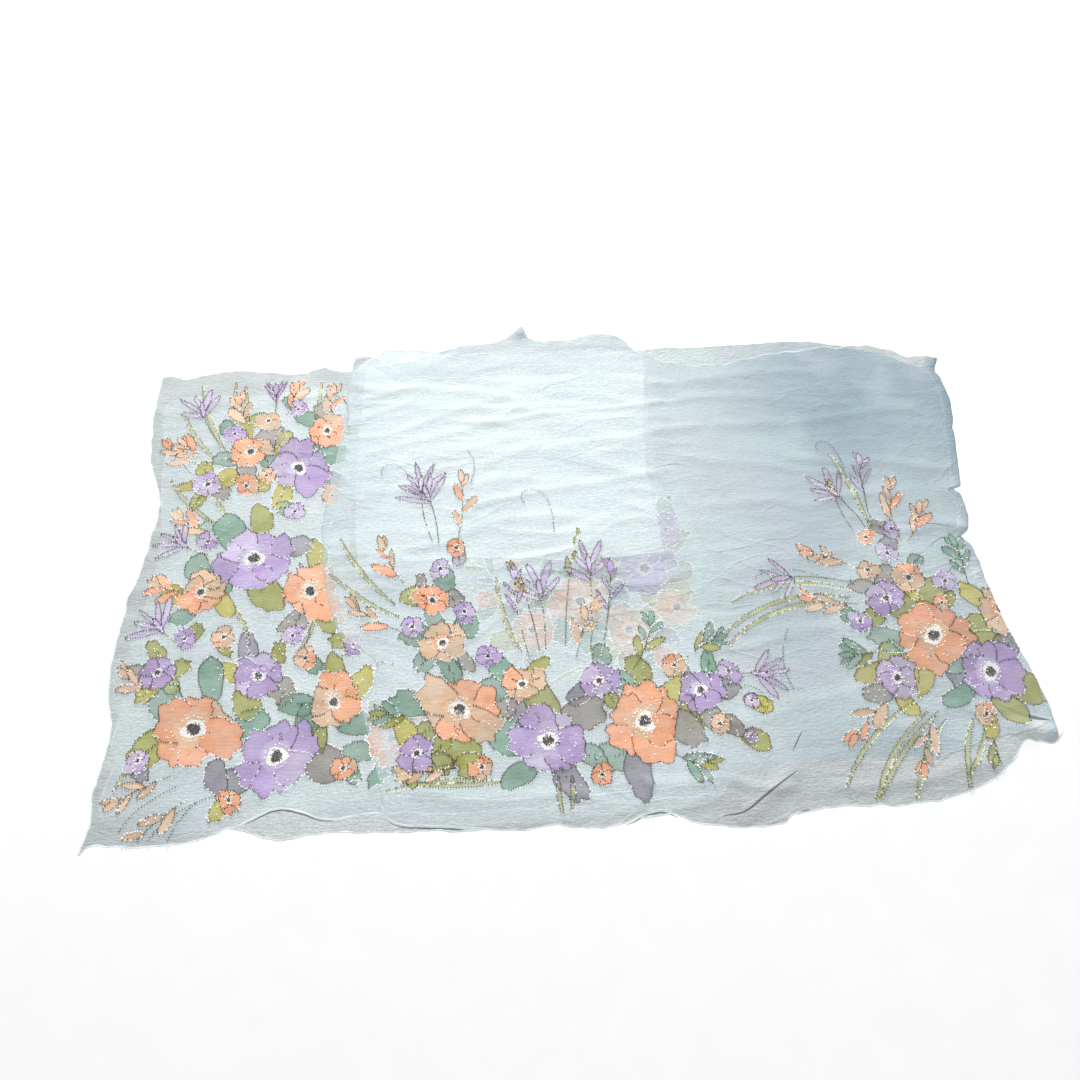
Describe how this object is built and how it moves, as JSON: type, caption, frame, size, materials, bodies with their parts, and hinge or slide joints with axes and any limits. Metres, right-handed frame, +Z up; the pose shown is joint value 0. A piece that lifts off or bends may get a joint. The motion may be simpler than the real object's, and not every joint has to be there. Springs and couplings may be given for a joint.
{
  "type": "evening stole",
  "caption": "Long sheer evening stole, folded back and forth in flat overlapping stretches, with rolled hems and floral panels.",
  "frame": {"origin": "centre of the bounding box on the plane the folded cloth rests on", "axes": "+X along the folded cloth, towards its right-hand fold; +Y across it, away from the viewer; +Z up from the surface it lies on"},
  "size_m": [0.9001, 0.5836, 0.0097],
  "materials": {
    "lower_cloth": "sheer crinkled chiffon, pale grey-blue where it lies in one layer",
    "end_cloth": "sheer crinkled chiffon, pale blue",
    "hidden_cloth": "sheer crinkled chiffon, pale blue, doubled",
    "top_cloth": "sheer crinkled chiffon, pale blue"
  },
  "bodies": {
    "root": {"lower_stretch": "lower_cloth", "end_stretch": "end_cloth", "hidden_folds": "hidden_cloth", "top_stretch": "top_cloth"}
  },
  "joints": []
}
